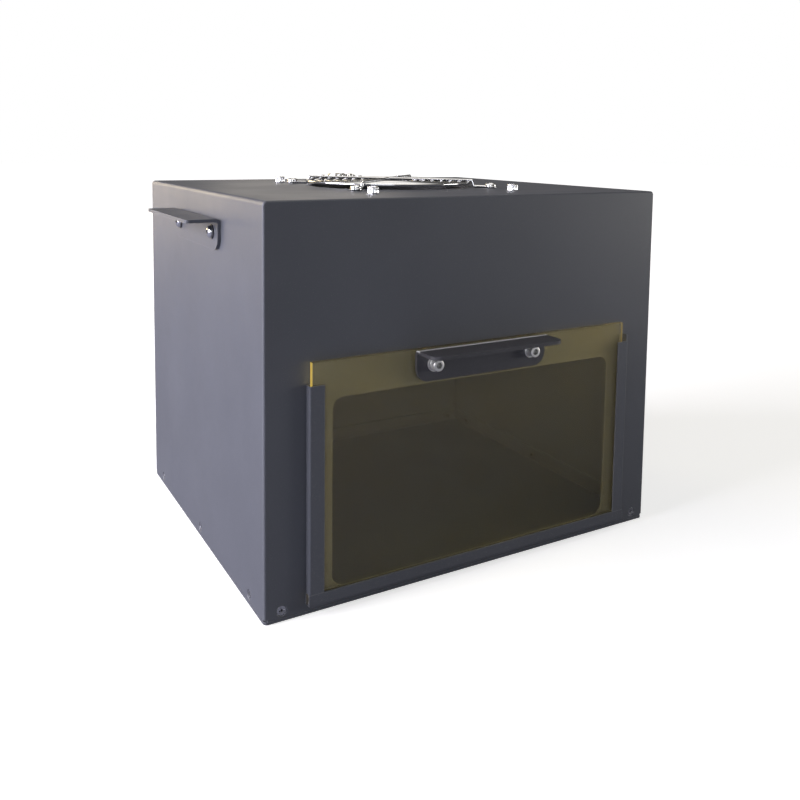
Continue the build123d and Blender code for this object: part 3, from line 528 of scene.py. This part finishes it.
finishes = {
    "coat": coatMaterial("boxCoat", boxCoat),
    "handleCoat": coatMaterial("handleCoat", handleCoat),
    "pane": paneMaterial(amberPane),
    "glass": glassMaterial("lampGlass", clearGlass),
    "lens": glassMaterial("ledLens", clearLens),
    "chrome": metalMaterial("brightPlate", metalLook((0.78, 0.78, 0.80), 0.10)),
    "satinSteel": metalMaterial("satinSteel", metalLook((0.93, 0.92, 0.90), 0.38, recess=3.2)),
    "blackScrew": metalMaterial("blackenedSteel", metalLook((0.16, 0.16, 0.17), 0.35, dullTone=0.6)),
    "zinc": metalMaterial("zincPlate", metalLook((0.60, 0.61, 0.63), 0.30, patch=5.0)),
    "sunkSteel": metalMaterial("sunkSteel", metalLook((0.50, 0.50, 0.52), 0.2, recess=0.5)),
    "brass": metalMaterial("plainBrass", metalLook((0.72, 0.52, 0.24), 0.28)),
    "nickel": metalMaterial("nickelPlate", metalLook((0.68, 0.67, 0.63), 0.18)),
    "aluminium": metalMaterial("drawnAluminium", drawnBar),
    "blackAluminium": metalMaterial("blackAnodised", blackBar),
    "ferrite": plasticMaterial("ferrite", plasticLook((0.05, 0.05, 0.05), 0.6)),
    "fanPlastic": plasticMaterial("fanPlastic", plasticLook((0.018, 0.018, 0.020), 0.45)),
    "terminal": plasticMaterial("terminalPlastic", plasticLook((0.03, 0.22, 0.08), 0.4)),
    "redWire": plasticMaterial("redWire", plasticLook((0.38, 0.02, 0.02), 0.5)),
    "blackWire": plasticMaterial("blackWire", plasticLook((0.02, 0.02, 0.02), 0.5)),
    "ceramic": plasticMaterial("ledCeramic", plasticLook((0.72, 0.72, 0.66), 0.35, grain=0.3, depth=0.1)),
    "winding": windingMaterial(copperWire),
    "board": boardMaterial(lampBoard),
}
print("finishes made:", len(finishes))

nodeFinish = {
    "coat": [
        "cover_wrap",
        "front_panel",
        "rear_panel",
        "base_plate",
        "door_guide_left",
        "door_guide_right",
        "door_guide_bottom",
        "side_handle_left",
        "side_handle_right",
    ],
    "handleCoat": ["door_handle"],
    "pane": ["door_panel"],
    "glass": ["lamp_glass"],
    "chrome": [
        "side_handle_screws",
        "fan_guard",
        "fan_guard_screws",
        "lamp_screws",
        "connector_screws",
    ],
    "satinSteel": ["door_handle_screws", "door_spring_washers", "door_flat_washers"],
    "blackScrew": ["side_handle_washers", "base_screws"],
    "zinc": [
        "side_handle_nuts",
        "fan_guard_nuts",
        "lamp_standoffs",
        "led_board_screws",
        "lamp_frame_screws",
        "connector_nuts",
        "fan_shaft",
        "fan_clip",
    ],
    "brass": ["door_inserts", "fan_bearing", "connector_pins"],
    "nickel": ["connector_socket", "connector_ring"],
    "aluminium": ["heat_sink"],
    "blackAluminium": ["lamp_frame"],
    "ferrite": ["fan_magnet"],
    "fanPlastic": ["fan_frame", "fan_rotor", "connector_insert"],
    "terminal": ["lamp_terminal"],
    "redWire": ["lamp_lead_plus"],
    "blackWire": ["lamp_lead_minus", "fan_lead"],
    "ceramic": ["leds"],
    "winding": ["fan_stator"],
    "board": ["led_board"],
}
for finish, names in nodeFinish.items():
    for name in names:
        nodes[name].data.materials.clear()
        nodes[name].data.materials.append(finishes[finish])
print("finishes placed on", sum(len(names) for names in nodeFinish.values()), "nodes")


def ringFaces(rows, columns):
    # quads of a grid of points whose rows are closed rings, each row joined to the next
    row, column = np.meshgrid(np.arange(rows - 1), np.arange(columns), indexing="ij")
    after = (column + 1) % columns
    here, above = row * columns, (row + 1) * columns
    return np.stack([here + column, here + after, above + after, above + column], -1).reshape(-1, 4)


def closedRings(rings):
    # rings of points stacked into one closed surface, each end closed by a fan about its middle point
    rows, columns, size = rings.shape
    verts = np.concatenate([rings.reshape(-1, size), rings[:1].mean(1), rings[-1:].mean(1)])
    column = np.arange(columns)
    after = (column + 1) % columns
    last = (rows - 1) * columns
    start = np.stack([np.full(columns, rows * columns), after, column], -1)
    end = np.stack([np.full(columns, rows * columns + 1), last + column, last + after], -1)
    return verts, ringFaces(rows, columns), np.concatenate([start, end])


uprightFrom = 0.9  # the height of a unit direction that counts as straight up or down
screwSpin = 2.4  # radians from one screw to the next, so that no two stand alike


def facingFrame(outward, spin):
    # three axes as columns, the last along outward and the first two turned about it by spin
    z = np.array(outward, float)
    z /= np.linalg.norm(z)
    upright = abs(z[2]) >= uprightFrom
    side = np.array((1.0, 0.0, 0.0)) if upright else np.cross(z, (0.0, 0.0, 1.0))
    side /= np.linalg.norm(side)
    other = np.cross(z, side)
    turned = math.cos(spin) * side + math.sin(spin) * other
    return np.stack([turned, np.cross(z, turned), z], 1)


def copies(surface, places, turn=screwSpin):
    # the same surface at each place, facing along its outward direction and turned on from the last
    verts, quads, fans = surface
    frames = [facingFrame(outward, turn * count) for count, (place, outward) in enumerate(places)]
    moved = [verts @ turned.T + np.array(place) for turned, (place, outward) in zip(frames, places)]
    steps = np.arange(len(frames))[:, None, None] * len(verts)
    return np.concatenate(moved), (quads + steps).reshape(-1, 4), (fans + steps).reshape(-1, 3)


sharpFrom = 32.0  # degrees between two faces from which their edge is drawn sharp


def makePiece(name, surface, finish, body="cabinet", stands=None):
    # puts the arrays into a mesh, turned inside out first if the volume they enclose comes out negative
    verts, quads, fans = surface
    triangles = np.concatenate([quads[:, (0, 1, 2)], quads[:, (0, 2, 3)], fans])
    corner = verts[triangles]
    volume = np.einsum("ij,ij->i", corner[:, 0], np.cross(corner[:, 1], corner[:, 2])).sum()
    if volume < 0:
        quads, fans = quads[:, ::-1], fans[:, ::-1]
    mesh = bpy.data.meshes.new(name)
    mesh.from_pydata(verts.tolist(), [], quads.tolist() + fans.tolist())
    mesh.validate()
    mesh.shade_smooth()
    mesh.set_sharp_from_angle(angle=math.radians(sharpFrom))
    mesh.materials.append(finishes[finish])
    piece = bpy.data.objects.new(name, mesh)
    bpy.context.scene.collection.objects.link(piece)
    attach(piece, body)
    if stands:
        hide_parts(stands)
    return piece


def recessOutline(screw, around):
    # a radius for each angle: a hexagon, reach / cos(a mod 60 - 30), or a cross's four lobes,
    # a power of |cos 2a| that stands out from a round neck
    if screw["recess"] == "hexagon":
        return screw["recessReach"] / np.cos((around % (math.pi / 3)) - math.pi / 6)
    lobes = np.abs(np.cos(2 * around)) ** screw["lobeSharp"]
    arms = np.where(np.cos(4 * around) > 0, lobes, 0.0)
    return screw["recessReach"] * (screw["lobeNeck"] + (1 - screw["lobeNeck"]) * arms)


def screwRecess(screw, around, outline):
    # rings from the recess's floor to its rim on the head: the outline times t + (1 - t) w, with w from
    # 0 at the floor to 1 at the rim
    head, height, power = screw["headRadius"], screw["headHeight"], screw["headPower"]
    rimHeight = height * (1 - (outline.max() / head) ** power) ** (1 / power)
    floor = height - screw["recessDepth"]
    wall = np.linspace(0, 1, screw["recessRows"])[:, None]
    radius = outline * (screw["recessTaper"] + (1 - screw["recessTaper"]) * wall)
    return radius, (floor + (rimHeight - floor) * wall) * np.ones_like(around)


def screwHead(screw, around, outline):
    # rings from the rim down to the seat: a superellipse (r/R)^p + (z/h)^p = 1, and on a knurled head
    # a straight side below its shoulder, R - d |sin(n a / 2)| round it
    head, height, power = screw["headRadius"], screw["headHeight"], screw["headPower"]
    ones = np.ones((1, len(around)))
    start = math.asin((outline.max() / head) ** (power / 2))
    sweep = np.linspace(start, math.pi / 2, screw["headRows"])[:, None]
    radius = head * np.sin(sweep) ** (2 / power) * ones
    radius[0] = radius[0] * (1 - screw["rimFollows"]) + outline * screw["rimFollows"]
    level = height * np.cos(sweep).clip(0, 1) ** (2 / power) * ones
    if screw["knurlCount"]:
        dips = screw["knurlDepth"] * np.abs(np.sin(screw["knurlCount"] * around / 2))
        band = np.linspace(screw["knurlTop"], screw["knurlLow"], screw["knurlRows"])[:, None] * height
        shoulder = level[:, 0] > screw["knurlTop"] * height
        radius = np.concatenate([radius[shoulder], (head - dips) * np.ones_like(band), head * ones])
        level = np.concatenate([level[shoulder], band * ones, 0 * ones])
    return radius, level


def screwShank(screw, around):
    # rings from the seat or the cone to the tip: R - d (1 - |2 u - 1|), a triangle wave in u that climbs
    # one pitch a turn and fades out over the last rings, and the tip is drawn in
    neck, cone, length = screw["threadRadius"], screw["cone"], screw["length"]
    ones = np.ones((1, len(around)))
    steps = max(2, round((length - cone) / screw["pitch"] * screw["ringsPerTurn"]))
    along = np.linspace(screw["threadStart"], 1, steps)[:, None]
    depth = -cone - along * (length - cone)
    climb = (depth / screw["pitch"] - around / (2 * math.pi)) % 1.0
    fade = np.minimum(1, (1 - along) * steps / screw["fadeRings"])
    thread = neck - screw["threadDepth"] * (1 - np.abs(2 * climb - 1)) * fade
    level = depth * ones
    level[-1] += screw["pointHeight"] * neck
    radius = np.concatenate([neck * ones, thread, screw["pointRadius"] * neck * ones])
    return radius, np.concatenate([-cone * ones, level, -length * ones])


def screwSurface(screw):
    # a screw about its axis with its seat at zero: a radius and a height for every ring and angle
    around = np.arange(screw["columns"]) * 2 * math.pi / screw["columns"]
    outline = recessOutline(screw, around)
    recess, head = screwRecess(screw, around, outline), screwHead(screw, around, outline)
    radius, level = (np.concatenate(rings) for rings in zip(recess, head, screwShank(screw, around)))
    return closedRings(np.stack([radius * np.cos(around), radius * np.sin(around), level], -1) * mm)


capScrew = {
    "columns": 96,
    "headRadius": 3.5,
    "headHeight": 4.0,
    "headPower": 14.0,
    "recess": "hexagon",
    "recessReach": 1.75,
    "recessDepth": 2.3,
    "recessTaper": 0.97,
    "recessRows": 4,
    "headRows": 14,
    "rimFollows": 0.65,
    "lobeSharp": 1.0,
    "lobeNeck": 0.0,
    "knurlCount": 32,
    "knurlDepth": 0.16,
    "knurlTop": 0.86,
    "knurlLow": 0.08,
    "knurlRows": 3,
    "cone": 0.0,
    "threadRadius": 2.0,
    "threadDepth": 0.35,
    "pitch": 0.7,
    "ringsPerTurn": 5,
    "threadStart": 0.02,
    "fadeRings": 3,
    "pointHeight": 0.12,
    "pointRadius": 0.75,
    "length": 8.5,
}
smallThread = {"threadRadius": 1.5, "threadDepth": 0.25, "pitch": 0.5}
smallCapScrew = dict(
    capScrew,
    columns=72,
    headRadius=2.62,
    headHeight=3.0,
    recessReach=1.12,
    recessDepth=1.6,
    knurlCount=24,
    length=16.5,
    **smallThread,
)
buttonScrew = dict(
    capScrew,
    headRadius=3.8,
    headHeight=2.2,
    headPower=2.3,
    recessReach=1.25,
    recessDepth=1.4,
    knurlCount=0,
)
panScrew = dict(
    buttonScrew,
    columns=72,
    headHeight=1.88,
    headPower=2.6,
    recess="cross",
    recessReach=2.0,
    recessDepth=1.1,
    recessTaper=0.45,
    lobeSharp=3.0,
    lobeNeck=0.3,
)
smallPanScrew = dict(
    panScrew,
    headRadius=2.85,
    headHeight=1.41,
    recessReach=1.55,
    recessDepth=0.85,
    length=6.0,
    **smallThread,
)
sunkScrew = dict(
    smallPanScrew,
    headRadius=2.7,
    headHeight=0.12,
    headPower=6.0,
    recessReach=1.6,
    recessDepth=1.0,
    cone=1.2,
    length=3.6,
)
shortCapScrew = dict(smallCapScrew, length=6.0)


def gridPlaces(node, screw, outward, counts):
    # one node's screws, placed from its box: rows and columns a head's radius inside its corners
    low, high = (np.array(corner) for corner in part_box(node))
    axis = int(np.argmax(np.abs(outward)))
    rise = screw["headHeight"] * mm
    seat = high[axis] - rise if outward[axis] > 0 else low[axis] + rise
    reach = screw["headRadius"] * mm
    across = [one for one in range(3) if one != axis]
    lines = []
    for one, count in zip(across, counts):
        middle = (low[one] + high[one]) / 2
        lines.append(np.linspace(low[one] + reach, high[one] - reach, count) if count > 1 else [middle])
    places = []
    for first in lines[0]:
        for second in lines[1]:
            place = [0.0, 0.0, 0.0]
            place[axis], place[across[0]], place[across[1]] = seat, first, second
            places.append((place, outward))
    return places


def fitted(screw, node, axis):
    # the screw made as long as its node's box is deep, less the head
    low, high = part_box(node)
    return dict(screw, length=(high[axis] - low[axis]) / mm - screw["headHeight"])


def nodeScrews(name, node, screw, outwards, counts, finish, body="cabinet"):
    # one node's screws as one piece; satin steel is chrome in the record too
    places = [place for outward in outwards for place in gridPlaces(node, screw, outward, counts)]
    makePiece(name, copies(screwSurface(screw), places), finish, body, node)


baseScrewPlaces = {"alongSide": (-95.5, 0.0, 95.5), "alongFront": (-130.0, 130.0)}


def makeBaseScrews(spots):
    # sunk heads along the lower edge, all round it: on both sides, then front and back
    low, high = (np.array(corner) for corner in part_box("base_screws"))
    middle = (low[2] + high[2]) / 2
    places = []
    for x in (low[0], high[0]):
        places += [((x, y * mm, middle), (math.copysign(1, x), 0, 0)) for y in spots["alongSide"]]
    for y in (low[1], high[1]):
        places += [((x * mm, y, middle), (0, math.copysign(1, y), 0)) for x in spots["alongFront"]]
    surface = copies(screwSurface(sunkScrew), places)
    makePiece("baseScrews", surface, "sunkSteel", "cabinet", "base_screws")


def makeScrews():
    # every screw of the box, at the places of the nodes they stand for
    front, sides, up, down = [(0, -1, 0)], [(-1, 0, 0), (1, 0, 0)], [(0, 0, 1)], [(0, 0, -1)]
    doorScrew = fitted(capScrew, "door_handle_screws", 1)
    guardScrew = fitted(panScrew, "fan_guard_screws", 2)
    nodeScrews("doorHandleScrews", "door_handle_screws", doorScrew, front, (2, 1), "satinSteel", "door")
    nodeScrews("lampScrews", "lamp_screws", capScrew, up, (2, 2), "chrome")
    nodeScrews("sideHandleScrews", "side_handle_screws", buttonScrew, sides, (2, 1), "chrome")
    nodeScrews("fanGuardScrews", "fan_guard_screws", guardScrew, up, (2, 2), "chrome")
    nodeScrews("connectorScrews", "connector_screws", shortCapScrew, up, (2, 2), "chrome")
    nodeScrews("ledBoardScrews", "led_board_screws", smallPanScrew, down, (2, 3), "zinc")
    nodeScrews("lampFrameScrews", "lamp_frame_screws", smallCapScrew, down, (2, 3), "zinc")
    makeBaseScrews(baseScrewPlaces)


splitWasher = {
    "outer": 3.7,
    "inner": 2.2,
    "thickness": 0.72,
    "gap": 0.16,
    "lift": 0.22,
    "rows": 72,
    "columns": 16,
    "corner": 5.0,
}


def makeSplitWashers(washer):
    # a superellipse |x/a|^5 + |z/b|^5 = 1 carried round nearly one turn while it climbs
    turn = np.linspace(washer["gap"] / 2, 2 * math.pi - washer["gap"] / 2, washer["rows"])[:, None]
    around = np.arange(washer["columns"]) * 2 * math.pi / washer["columns"]
    power = 2 / washer["corner"]
    width = washer["outer"] - washer["inner"]
    across = np.sign(np.cos(around)) * np.abs(np.cos(around)) ** power * width / 2
    upward = np.sign(np.sin(around)) * np.abs(np.sin(around)) ** power * washer["thickness"] / 2
    radius = (washer["outer"] + washer["inner"]) / 2 + across
    climb = washer["lift"] * (turn / (2 * math.pi) - 1 / 2)
    rings = np.stack([radius * np.cos(turn), radius * np.sin(turn), upward + climb], -1) * mm
    low, high = (np.array(corner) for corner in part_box("door_spring_washers"))
    y, z = (low[1] + high[1]) / 2, (low[2] + high[2]) / 2
    reach = washer["outer"] * mm
    places = [((x, y, z), (0, -1, 0)) for x in (low[0] + reach, high[0] - reach)]
    surface = copies(closedRings(rings), places)
    makePiece("doorSpringWashers", surface, "satinSteel", "door", "door_spring_washers")


guardWelds = {
    "outerRing": 58.5,
    "ringPitch": 6.5,
    "ringCount": 7,
    "angles": (45, 135, 225, 315),
    "strutRadius": 0.95,
    "reach": (1.5, 1.35, 0.55),
    "pole": 0.06,
    "spin": 0.9,
    "rows": 10,
    "columns": 20,
}


def makeGuardWelds(weld):
    # a flat squeezed blob where each ring meets a strut: (x/a)^2 + (y/b)^2 + (z/c)^2 = 1
    down = np.linspace(weld["pole"], math.pi - weld["pole"], weld["rows"])[:, None]
    around = np.arange(weld["columns"]) * 2 * math.pi / weld["columns"]
    ones = np.ones_like(around)
    flat = np.sin(down)
    ball = np.stack([flat * np.cos(around), flat * np.sin(around), np.cos(down) * ones], -1)
    blob = closedRings(ball * np.array(weld["reach"]) * mm)
    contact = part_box("fan_guard")[1][2] - 2 * weld["strutRadius"] * mm
    places = []
    for count in range(weld["ringCount"]):
        ring = (weld["outerRing"] - count * weld["ringPitch"]) * mm
        turns = [math.radians(angle) for angle in weld["angles"]]
        places += [((ring * math.cos(turn), ring * math.sin(turn), contact), (0, 0, 1)) for turn in turns]
    makePiece("guardWelds", copies(blob, places, weld["spin"]), "chrome")


ledLens = {
    "radius": 1.62,
    "rise": 1.0,
    "pole": 0.12,
    "skirt": 0.081,
    "seat": 0.75,
    "rows": 8,
    "columns": 16,
    "pitch": 15.0,
    "across": 6,
    "along": 9,
}


def makeLedLenses(lens):
    # a low clear dome on each diode, (r/R)^2 + (z/h)^2 = 1 for z above 0, with a short straight skirt
    down = np.linspace(lens["pole"], math.pi / 2, lens["rows"])[:, None]
    around = np.arange(lens["columns"]) * 2 * math.pi / lens["columns"]
    ones = np.ones((1, lens["columns"]))
    radius = lens["radius"] * np.concatenate([np.sin(down) * ones, ones])
    height = np.concatenate([lens["rise"] * np.cos(down) * ones, -lens["skirt"] * ones])
    rings = np.stack([radius * np.cos(around), radius * np.sin(around), height], -1) * mm
    low, high = (np.array(corner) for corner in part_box("leds"))
    middle = (low + high) / 2
    level = low[2] + lens["seat"] * mm
    column, row = np.meshgrid(np.arange(lens["across"]), np.arange(lens["along"]))
    x = middle[0] + (column.ravel() - (lens["across"] - 1) / 2) * lens["pitch"] * mm
    y = middle[1] + (row.ravel() - (lens["along"] - 1) / 2) * lens["pitch"] * mm
    places = [((a, b, level), (0, 0, -1)) for a, b in zip(x, y)]
    makePiece("ledLenses", copies(closedRings(rings), places, 0.0), "lens")


makeScrews()
makeSplitWashers(splitWasher)
makeGuardWelds(guardWelds)
makeLedLenses(ledLens)
print("screws, washers, welds and lenses made")


studio = {
    "floorSize": 9.0,
    "floorDrop": 0.0004,
    "floorColor": (0.80, 0.80, 0.80, 1),
    "floorBounce": (0.27, 0.28, 0.33, 1),
    "floorLift": 0.62,
    "nearWhite": (0.7, 1.6),
    "worldLight": 0.11,
    "worldTint": (1.0, 0.97, 0.91, 1),
    "skyShine": 2.0,
    "skyRise": (0.78, 0.95),
}


def floorMaterial(room):
    # to the camera it is near white, lifted more the further off; everything else meets a pale grey
    material = bpy.data.materials.new("paleFloor")
    material.use_nodes = True
    tree = material.node_tree
    tree.nodes.clear()
    diffuse = feed(tree, addNode(tree, "ShaderNodeBsdfDiffuse"), {"Color": room["floorColor"]})
    away = addNode(tree, "ShaderNodeVectorMath", operation="LENGTH")
    feed(tree, away, {0: addNode(tree, "ShaderNodeTexCoord").outputs["Object"]})
    level = mapRange(tree, away.outputs["Value"], *room["nearWhite"], room["floorLift"], 1.0)
    lift = feed(tree, addNode(tree, "ShaderNodeEmission"), {"Strength": level})
    both = addNode(tree, "ShaderNodeAddShader")
    feed(tree, both, {0: diffuse.outputs[0], 1: lift.outputs[0]})
    cameraRay = addNode(tree, "ShaderNodeLightPath").outputs["Is Camera Ray"]
    bounce = feed(tree, addNode(tree, "ShaderNodeBsdfDiffuse"), {"Color": room["floorBounce"]})
    mix = mixShader(tree, cameraRay, bounce, both)
    feed(tree, addNode(tree, "ShaderNodeOutputMaterial"), {"Surface": mix.outputs[0]})
    return material


def buildFloor(room):
    # wide, flat and just under the box, whose shadow it keeps
    half, level = room["floorSize"], -room["floorDrop"]
    mesh = bpy.data.meshes.new("floor")
    corners = [(x * half, y * half, level) for x, y in ((-1, -1), (1, -1), (1, 1), (-1, 1))]
    mesh.from_pydata(corners, [], [(0, 1, 2, 3)])
    mesh.materials.append(floorMaterial(room))
    floor = bpy.data.objects.new("floor", mesh)
    bpy.context.scene.collection.objects.link(floor)


def buildWorld(room):
    # white where it is seen or seen through, dim and warm otherwise, bright overhead in reflections
    world = bpy.data.worlds.new("studio")
    bpy.context.scene.world = world
    world.use_nodes = True
    tree = world.node_tree
    tree.nodes.clear()
    rays = addNode(tree, "ShaderNodeLightPath").outputs
    seen = mathNode(tree, "MAXIMUM", rays["Is Camera Ray"], rays["Is Transmission Ray"])
    rise = axes(tree, addNode(tree, "ShaderNodeTexCoord").outputs["Generated"])[2]
    overhead = mapRange(tree, rise, *room["skyRise"], 0.0, room["skyShine"])
    shine = mathNode(tree, "MULTIPLY", rays["Is Glossy Ray"], overhead)
    dim = mathNode(tree, "ADD", shine, room["worldLight"])
    level = feed(tree, addNode(tree, "ShaderNodeMix"), {0: seen, 2: dim, 3: 1.0}).outputs[0]
    color = mixColor(tree, seen, room["worldTint"], (1, 1, 1, 1))
    background = feed(tree, addNode(tree, "ShaderNodeBackground"), {"Color": color, "Strength": level})
    feed(tree, addNode(tree, "ShaderNodeOutputWorld"), {"Surface": background.outputs[0]})


lightTarget = (0, 0, 0.12)
lights = {
    "key": {"place": (-2.0, 0.35, 0.7), "size": (1.6, 1.2), "power": 91.0, "color": (0.98, 0.96, 1.06)},
    "top": {"place": (0.6, -0.8, 2.1), "size": (1.6, 1.4), "power": 3.0, "color": (1.0, 0.98, 0.92)},
    "fill": {"place": (1.9, -0.9, 0.3), "size": (1.0, 0.5), "power": 15.0, "color": (1.0, 0.98, 0.93)},
    "near": {"place": (-1.1, -1.5, 0.45), "size": (1.0, 0.6), "power": 6.5, "color": (0.96, 1.0, 1.06)},
    "back": {"place": (1.0, 2.5, 0.75), "size": (0.7, 0.6), "power": 2.2, "color": (1.0, 0.92, 0.80)},
    "rim": {"place": (-0.72, 2.5, 0.6), "size": (0.9, 1.15), "power": 17.0, "color": (1.0, 0.82, 0.52)},
}


def areaLight(name, light, target):
    data = bpy.data.lights.new(name + "Light", "AREA")
    data.shape = "RECTANGLE"
    data.size, data.size_y = light["size"]
    data.energy = light["power"]
    data.color = light["color"]
    lamp = bpy.data.objects.new(name + "Light", data)
    bpy.context.scene.collection.objects.link(lamp)
    lamp.location = light["place"]
    lamp.rotation_euler = (Vector(target) - lamp.location).to_track_quat("-Z", "Y").to_euler()


view = {
    "place": (-0.29125, -0.5273, 0.26023),
    "turn": 29.73,
    "down": 5.23,
    "roll": 0.67,
    "focal": 835.43,
    "axisRow": 220.0,
    "frame": 800.0,
    "sensor": 36.0,
    "nearest": 0.01,
}


def buildCamera(shot):
    # looks along turn and down, rolled about its own axis, which the shift puts on the given row
    turn, down, roll = (math.radians(shot[key]) for key in ("turn", "down", "roll"))
    ahead = math.cos(down)
    forward = Vector((math.sin(turn) * ahead, math.cos(turn) * ahead, -math.sin(down)))
    right = Vector((math.cos(turn), -math.sin(turn), 0))
    up = right.cross(forward)
    level, tilt = math.cos(roll), math.sin(roll)
    right, up = level * right + tilt * up, level * up - tilt * right
    data = bpy.data.cameras.new("camera")
    data.sensor_width = shot["sensor"]
    data.lens = shot["focal"] * shot["sensor"] / shot["frame"]
    data.shift_y = (shot["axisRow"] - shot["frame"] / 2) / shot["frame"]
    data.clip_start = shot["nearest"]
    camera = bpy.data.objects.new("camera", data)
    bpy.context.scene.collection.objects.link(camera)
    turned = Matrix((right, up, -forward)).transposed().to_4x4()
    camera.matrix_world = Matrix.Translation(Vector(shot["place"])) @ turned
    bpy.context.scene.camera = camera


buildFloor(studio)
buildWorld(studio)
for name, light in lights.items():
    areaLight(name, light, lightTarget)
buildCamera(view)
bpy.context.scene.view_settings.view_transform = "Standard"
print("room, lights and camera set")
